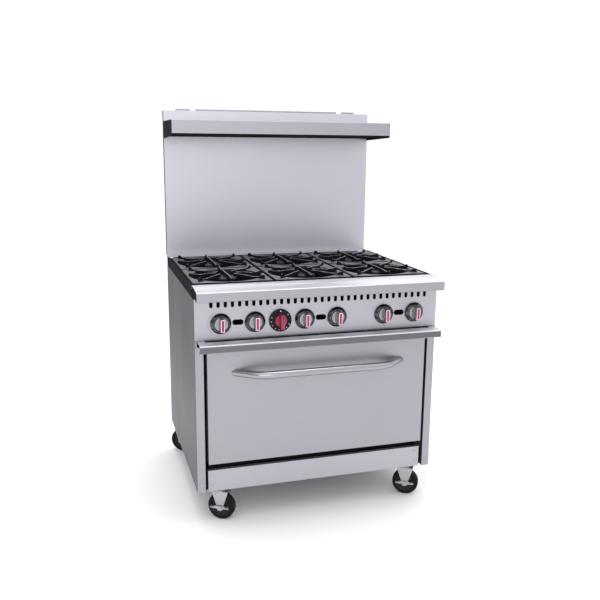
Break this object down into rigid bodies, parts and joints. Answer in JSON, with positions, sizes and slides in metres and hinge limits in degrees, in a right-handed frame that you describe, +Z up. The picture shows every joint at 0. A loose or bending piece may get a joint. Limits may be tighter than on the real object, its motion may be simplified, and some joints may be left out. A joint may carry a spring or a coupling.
{
  "type": "commercial gas range",
  "caption": "Commercial stainless gas range: open-top burners under cast grates, drop-down oven door, pull-out crumb tray, back riser with high shelf, on swivel casters.",
  "frame": {"origin": "on the floor, at the middle of the overall width and of the overall depth from the front of the door handle to the back of the riser", "axes": "+X to the right seen from the front, +Y to the back, +Z up"},
  "size_m": [0.9208, 0.851, 1.506],
  "materials": {
    "stainless": "satin brushed",
    "stainless_tube": "satin, polished round tube",
    "galvanised": "dull galvanised",
    "black_paint": "semi-gloss black",
    "enamel": "speckled porcelain enamel",
    "chrome": "bright",
    "cast_iron": "black, slightly rough",
    "burner_iron": "grey cast",
    "knob_plastic": "grey moulding with a red pointer",
    "dial_plastic": "black dial with a red grip",
    "brass": "machined",
    "pipe_black": "black steel pipe",
    "tube_aluminium": "drawn tube",
    "mineral_wool": "yellow-brown wool slab",
    "braid": "glass-fibre braid",
    "zinc": "zinc plated",
    "wheel_rubber": "dull black"
  },
  "bodies": {
    "range_body": {"left_side_panel": "stainless", "right_side_panel": "stainless", "rear_panel": "galvanised", "chassis_frame": "black_paint", "kick_plate": "stainless", "control_panel": "stainless", "panel_screws": "zinc", "landing_ledge": "stainless", "cooktop_frame": "black_paint", "riser_front": "stainless", "riser_back": "black_paint", "shelf": "stainless", "shelf_support": "black_paint", "oven_face_frame": "black_paint", "oven_liner": "enamel", "oven_deck": "enamel", "rack_guides": "chrome", "oven_insulation": "mineral_wool", "oven_burner": "burner_iron", "burner_valves": "brass", "gas_manifold": "pipe_black", "burner_heads": "burner_iron", "burner_tubes": "burner_iron", "oven_thermostat": "brass", "pilot_tubing": "tube_aluminium", "knob_bezels": "chrome", "caster_plates": "zinc"},
    "oven_door": {"door_outer_panel": "stainless", "door_inner_panel": "enamel", "door_gasket": "braid", "door_insulation": "mineral_wool", "door_handle": "stainless_tube", "door_hinge_brackets": "black_paint"},
    "lower_rack": {"oven_rack_lower": "chrome"},
    "upper_rack": {"oven_rack_upper": "chrome"},
    "tray": {"crumb_tray": "galvanised", "crumb_tray_front": "stainless"},
    "knob_1": {"burner_knob_1": "knob_plastic"},
    "knob_2": {"burner_knob_2": "knob_plastic"},
    "knob_3": {"burner_knob_3": "knob_plastic"},
    "knob_4": {"burner_knob_4": "knob_plastic"},
    "knob_5": {"burner_knob_5": "knob_plastic"},
    "knob_6": {"burner_knob_6": "knob_plastic"},
    "thermostat_dial": {"thermostat_knob": "dial_plastic"},
    "grate_front_left_casting": {"grate_front_left": "cast_iron"},
    "grate_front_middle_casting": {"grate_front_middle": "cast_iron"},
    "grate_front_right_casting": {"grate_front_right": "cast_iron"},
    "grate_rear_left_casting": {"grate_rear_left": "cast_iron"},
    "grate_rear_middle_casting": {"grate_rear_middle": "cast_iron"},
    "grate_rear_right_casting": {"grate_rear_right": "cast_iron"},
    "swivel_front_left": {"caster_fork_front_left": "zinc"},
    "wheel_front_left": {"caster_wheel_front_left": "wheel_rubber"},
    "brake_front_left": {"caster_brake_front_left": "zinc"},
    "swivel_front_right": {"caster_fork_front_right": "zinc"},
    "wheel_front_right": {"caster_wheel_front_right": "wheel_rubber"},
    "brake_front_right": {"caster_brake_front_right": "zinc"},
    "swivel_rear_left": {"caster_fork_rear_left": "zinc"},
    "wheel_rear_left": {"caster_wheel_rear_left": "wheel_rubber"},
    "swivel_rear_right": {"caster_fork_rear_right": "zinc"},
    "wheel_rear_right": {"caster_wheel_rear_right": "wheel_rubber"}
  },
  "joints": [
    {"name": "oven_door_hinge", "type": "hinge", "parent": "range_body", "child": "oven_door", "pos_m": [0, -0.3355, 0.223], "axis": [1, 0, 0], "range_deg": [0, 90]},
    {"name": "lower_rack_slide", "type": "slide", "parent": "range_body", "child": "lower_rack", "axis": [0, -1, 0], "range_m": [0, 0.02]},
    {"name": "upper_rack_slide", "type": "slide", "parent": "range_body", "child": "upper_rack", "axis": [0, -1, 0], "range_m": [0, 0.02]},
    {"name": "crumb_tray_slide", "type": "slide", "parent": "range_body", "child": "tray", "axis": [0, -1, 0], "range_m": [0, 0.42]},
    {"name": "burner_knob_1_turn", "type": "hinge", "parent": "range_body", "child": "knob_1", "pos_m": [-0.366, -0.3715, 0.756], "axis": [0, -1, 0], "range_deg": [0, 180]},
    {"name": "burner_knob_2_turn", "type": "hinge", "parent": "range_body", "child": "knob_2", "pos_m": [-0.244, -0.3715, 0.756], "axis": [0, -1, 0], "range_deg": [0, 180]},
    {"name": "burner_knob_3_turn", "type": "hinge", "parent": "range_body", "child": "knob_3", "pos_m": [-0.061, -0.3715, 0.756], "axis": [0, -1, 0], "range_deg": [0, 180]},
    {"name": "burner_knob_4_turn", "type": "hinge", "parent": "range_body", "child": "knob_4", "pos_m": [0.061, -0.3715, 0.756], "axis": [0, -1, 0], "range_deg": [0, 180]},
    {"name": "burner_knob_5_turn", "type": "hinge", "parent": "range_body", "child": "knob_5", "pos_m": [0.244, -0.3715, 0.756], "axis": [0, -1, 0], "range_deg": [0, 180]},
    {"name": "burner_knob_6_turn", "type": "hinge", "parent": "range_body", "child": "knob_6", "pos_m": [0.366, -0.3715, 0.756], "axis": [0, -1, 0], "range_deg": [0, 180]},
    {"name": "thermostat_turn", "type": "hinge", "parent": "range_body", "child": "thermostat_dial", "pos_m": [-0.1524, -0.3715, 0.756], "axis": [0, -1, 0], "range_deg": [0, 270]},
    {"name": "grate_front_left_lift", "type": "slide", "parent": "range_body", "child": "grate_front_left_casting", "axis": [0, 0, 1], "range_m": [0, 0.15]},
    {"name": "grate_front_middle_lift", "type": "slide", "parent": "range_body", "child": "grate_front_middle_casting", "axis": [0, 0, 1], "range_m": [0, 0.15]},
    {"name": "grate_front_right_lift", "type": "slide", "parent": "range_body", "child": "grate_front_right_casting", "axis": [0, 0, 1], "range_m": [0, 0.15]},
    {"name": "grate_rear_left_lift", "type": "slide", "parent": "range_body", "child": "grate_rear_left_casting", "axis": [0, 0, 1], "range_m": [0, 0.15]},
    {"name": "grate_rear_middle_lift", "type": "slide", "parent": "range_body", "child": "grate_rear_middle_casting", "axis": [0, 0, 1], "range_m": [0, 0.15]},
    {"name": "grate_rear_right_lift", "type": "slide", "parent": "range_body", "child": "grate_rear_right_casting", "axis": [0, 0, 1], "range_m": [0, 0.15]},
    {"name": "caster_swivel_front_left", "type": "hinge", "parent": "range_body", "child": "swivel_front_left", "pos_m": [-0.372, -0.3015, 0.118], "axis": [0, 0, 1], "continuous": true},
    {"name": "caster_roll_front_left", "type": "hinge", "parent": "swivel_front_left", "child": "wheel_front_left", "pos_m": [-0.36182, -0.30786, 0.051], "axis": [0.5299, 0.848, 0], "continuous": true},
    {"name": "caster_brake_front_left_press", "type": "hinge", "parent": "swivel_front_left", "child": "brake_front_left", "pos_m": [-0.36182, -0.30786, 0.051], "axis": [0.5299, 0.848, 0], "range_deg": [0, 14]},
    {"name": "caster_swivel_front_right", "type": "hinge", "parent": "range_body", "child": "swivel_front_right", "pos_m": [0.372, -0.3015, 0.118], "axis": [0, 0, 1], "continuous": true},
    {"name": "caster_roll_front_right", "type": "hinge", "parent": "swivel_front_right", "child": "wheel_front_right", "pos_m": [0.38218, -0.30786, 0.051], "axis": [0.5299, 0.848, 0], "continuous": true},
    {"name": "caster_brake_front_right_press", "type": "hinge", "parent": "swivel_front_right", "child": "brake_front_right", "pos_m": [0.38218, -0.30786, 0.051], "axis": [0.5299, 0.848, 0], "range_deg": [0, 14]},
    {"name": "caster_swivel_rear_left", "type": "hinge", "parent": "range_body", "child": "swivel_rear_left", "pos_m": [-0.405, 0.3425, 0.118], "axis": [0, 0, 1], "continuous": true},
    {"name": "caster_roll_rear_left", "type": "hinge", "parent": "swivel_rear_left", "child": "wheel_rear_left", "pos_m": [-0.41518, 0.34886, 0.051], "axis": [-0.5299, -0.848, 0], "continuous": true},
    {"name": "caster_swivel_rear_right", "type": "hinge", "parent": "range_body", "child": "swivel_rear_right", "pos_m": [0.405, 0.3425, 0.118], "axis": [0, 0, 1], "continuous": true},
    {"name": "caster_roll_rear_right", "type": "hinge", "parent": "swivel_rear_right", "child": "wheel_rear_right", "pos_m": [0.39482, 0.34886, 0.051], "axis": [-0.5299, -0.848, 0], "continuous": true}
  ]
}
